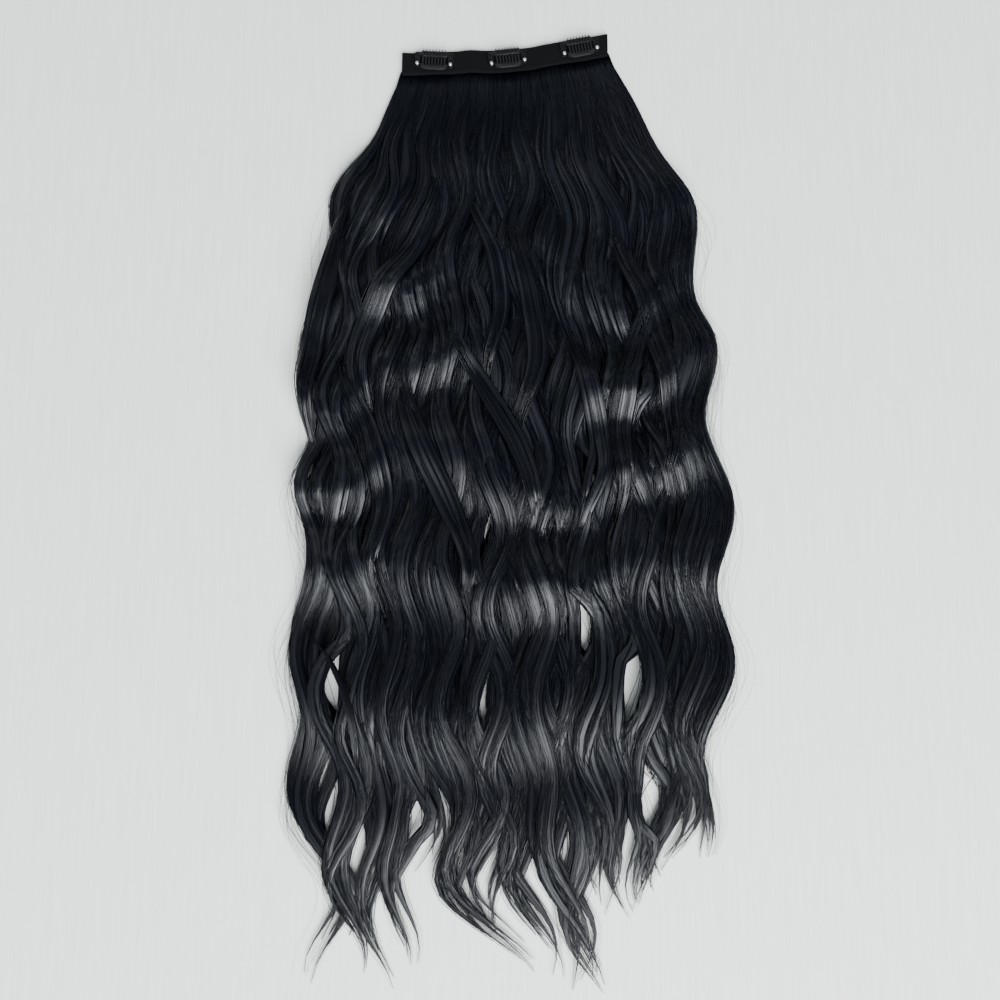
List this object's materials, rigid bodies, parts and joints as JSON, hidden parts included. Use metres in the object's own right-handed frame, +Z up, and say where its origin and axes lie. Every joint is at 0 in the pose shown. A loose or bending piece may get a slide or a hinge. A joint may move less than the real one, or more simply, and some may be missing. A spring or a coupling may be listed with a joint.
{
  "type": "clip in hair extension",
  "caption": "Weft of long wavy black hair on a folded cloth tape, with sewn-on snap combs for clipping it under the wearer's own hair.",
  "frame": {"origin": "middle of the footprint, on the table that the piece lies on", "axes": "+Z up from the table through the clips' outer side, +Y from the hair's tips to the tape's folded edge"},
  "size_m": [0.343, 0.73, 0.0222],
  "materials": {
    "hair": "near-black synthetic hair with a soft satin sheen along the strands",
    "tape": "matte black woven cotton binding tape",
    "clip_steel": "black painted spring steel, semi-gloss",
    "sleeve": "glossy black silicone tube",
    "rivet": "bright nickel rivets"
  },
  "bodies": {
    "root": {"hair": "hair", "tape": "tape", "clip_1_frame": "clip_steel", "clip_1_sleeve": "sleeve", "clip_1_left_eye": "clip_steel", "clip_1_right_eye": "clip_steel", "clip_1_left_rivet": "rivet", "clip_1_right_rivet": "rivet", "clip_2_frame": "clip_steel", "clip_2_sleeve": "sleeve", "clip_2_left_eye": "clip_steel", "clip_2_right_eye": "clip_steel", "clip_2_left_rivet": "rivet", "clip_2_right_rivet": "rivet", "clip_3_frame": "clip_steel", "clip_3_sleeve": "sleeve", "clip_3_left_eye": "clip_steel", "clip_3_right_eye": "clip_steel", "clip_3_left_rivet": "rivet", "clip_3_right_rivet": "rivet"},
    "comb_1": {"clip_1_comb": "clip_steel"},
    "comb_2": {"clip_2_comb": "clip_steel"},
    "comb_3": {"clip_3_comb": "clip_steel"}
  },
  "joints": [
    {"name": "comb_1_snap", "type": "hinge", "parent": "root", "child": "comb_1", "pos_m": [-0.05635, 0.33651, 0.00615], "axis": [0.9987, -0.0502, 0], "range_deg": [0, 30]},
    {"name": "comb_2_snap", "type": "hinge", "parent": "root", "child": "comb_2", "pos_m": [0.00413, 0.33853, 0.00615], "axis": [0.9933, 0.1154, 0], "range_deg": [0, 30]},
    {"name": "comb_3_snap", "type": "hinge", "parent": "root", "child": "comb_3", "pos_m": [0.06335, 0.34827, 0.00615], "axis": [0.9818, 0.1899, 0], "range_deg": [0, 30]}
  ]
}
